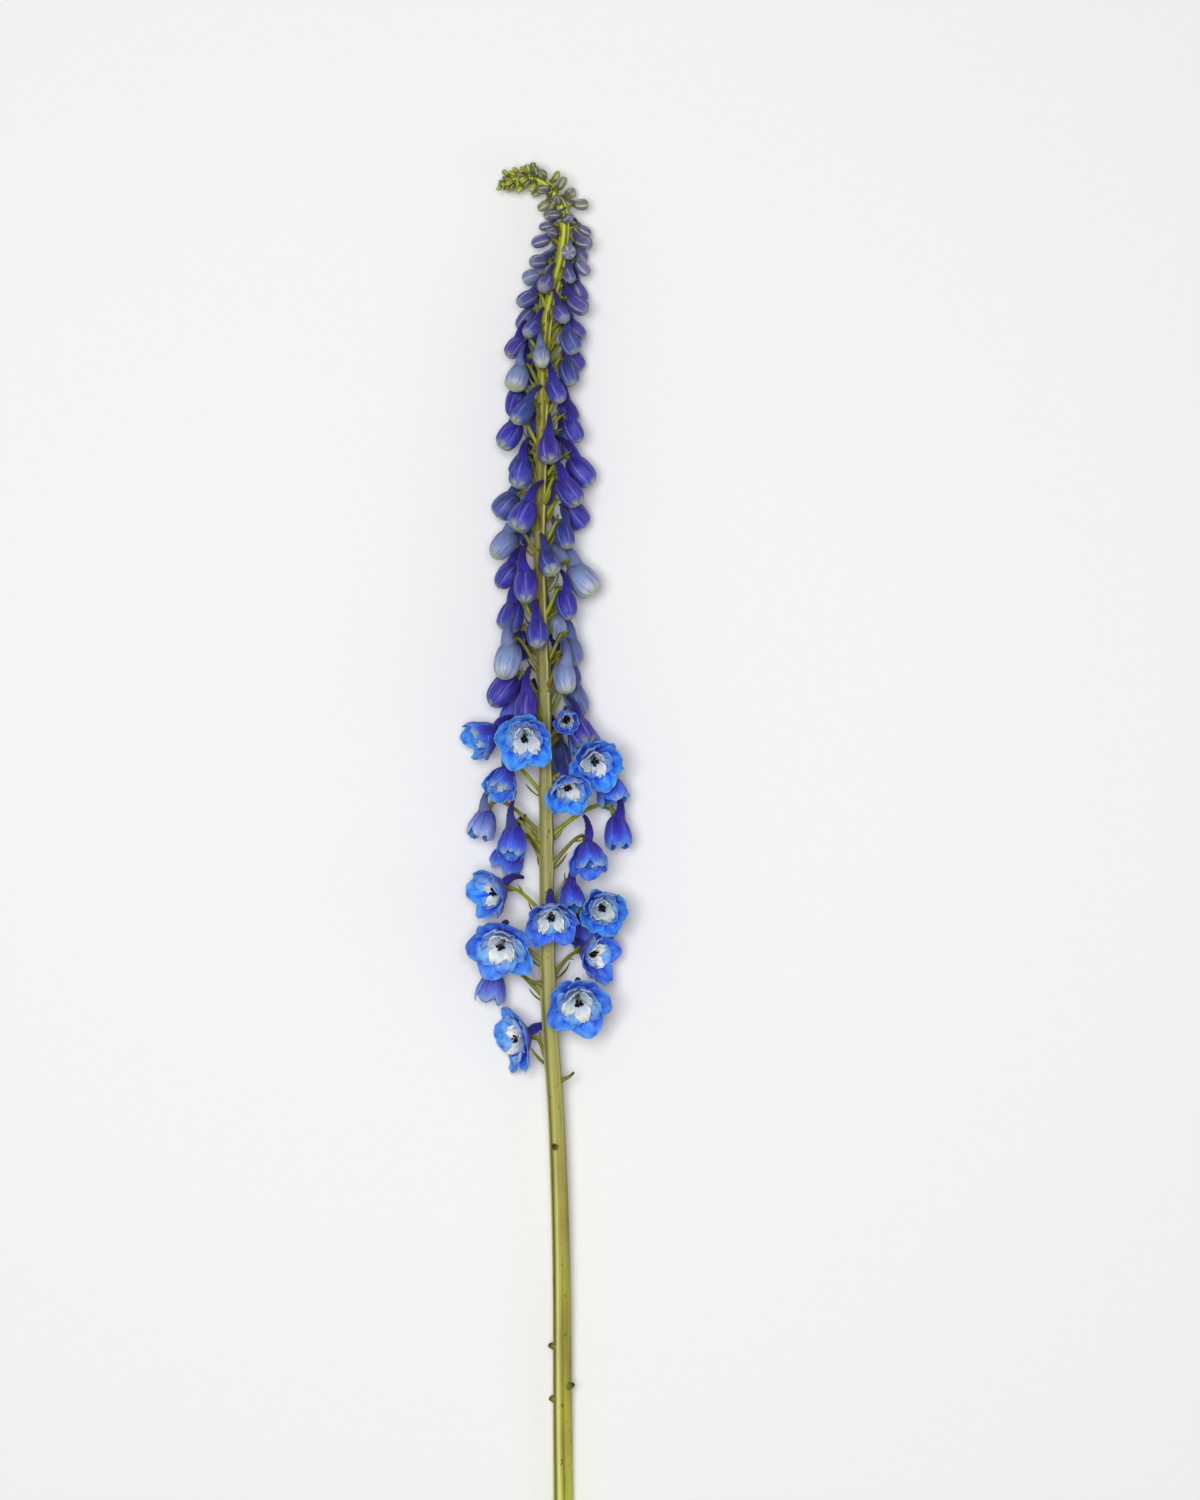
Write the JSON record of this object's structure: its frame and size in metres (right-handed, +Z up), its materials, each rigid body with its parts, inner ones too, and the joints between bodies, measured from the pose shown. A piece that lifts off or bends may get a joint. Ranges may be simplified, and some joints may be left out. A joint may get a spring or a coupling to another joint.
{
  "type": "delphinium flower spike",
  "caption": "Cut delphinium spike lying on its side: a long bare stalk, open spurred blue florets, and nodding buds that shrink up to a curling tip.",
  "frame": {"origin": "middle of the spike's outline seen from above, on the surface it lies on", "axes": "+Y along the stalk from the cut end to the curled tip, +Z up off the surface, +X to the right"},
  "size_m": [0.0852, 0.6996, 0.0645],
  "materials": {
    "stalk_green": "satin olive-green plant skin, yellower low down, with violet-blue buds",
    "sepal_blue": "soft petal, azure inside and violet-blue outside, finely veined",
    "bee_white": "soft pale petal, blue at the edge, with near-black stamens in the middle"
  },
  "bodies": {
    "root": {"flower_stalk": "stalk_green", "floret_01_sepals": "sepal_blue", "floret_01_bee": "bee_white", "floret_02_sepals": "sepal_blue", "floret_02_bee": "bee_white", "floret_03_sepals": "sepal_blue", "floret_03_bee": "bee_white", "floret_04_sepals": "sepal_blue", "floret_04_bee": "bee_white", "floret_05_sepals": "sepal_blue", "floret_05_bee": "bee_white", "floret_06_sepals": "sepal_blue", "floret_06_bee": "bee_white", "floret_07_sepals": "sepal_blue", "floret_07_bee": "bee_white", "floret_08_sepals": "sepal_blue", "floret_08_bee": "bee_white", "floret_09_sepals": "sepal_blue", "floret_09_bee": "bee_white", "floret_10_sepals": "sepal_blue", "floret_10_bee": "bee_white", "floret_11_sepals": "sepal_blue", "floret_11_bee": "bee_white", "floret_12_sepals": "sepal_blue", "floret_12_bee": "bee_white", "floret_13_sepals": "sepal_blue", "floret_13_bee": "bee_white", "floret_14_sepals": "sepal_blue", "floret_14_bee": "bee_white", "floret_15_sepals": "sepal_blue", "floret_15_bee": "bee_white"}
  },
  "joints": []
}
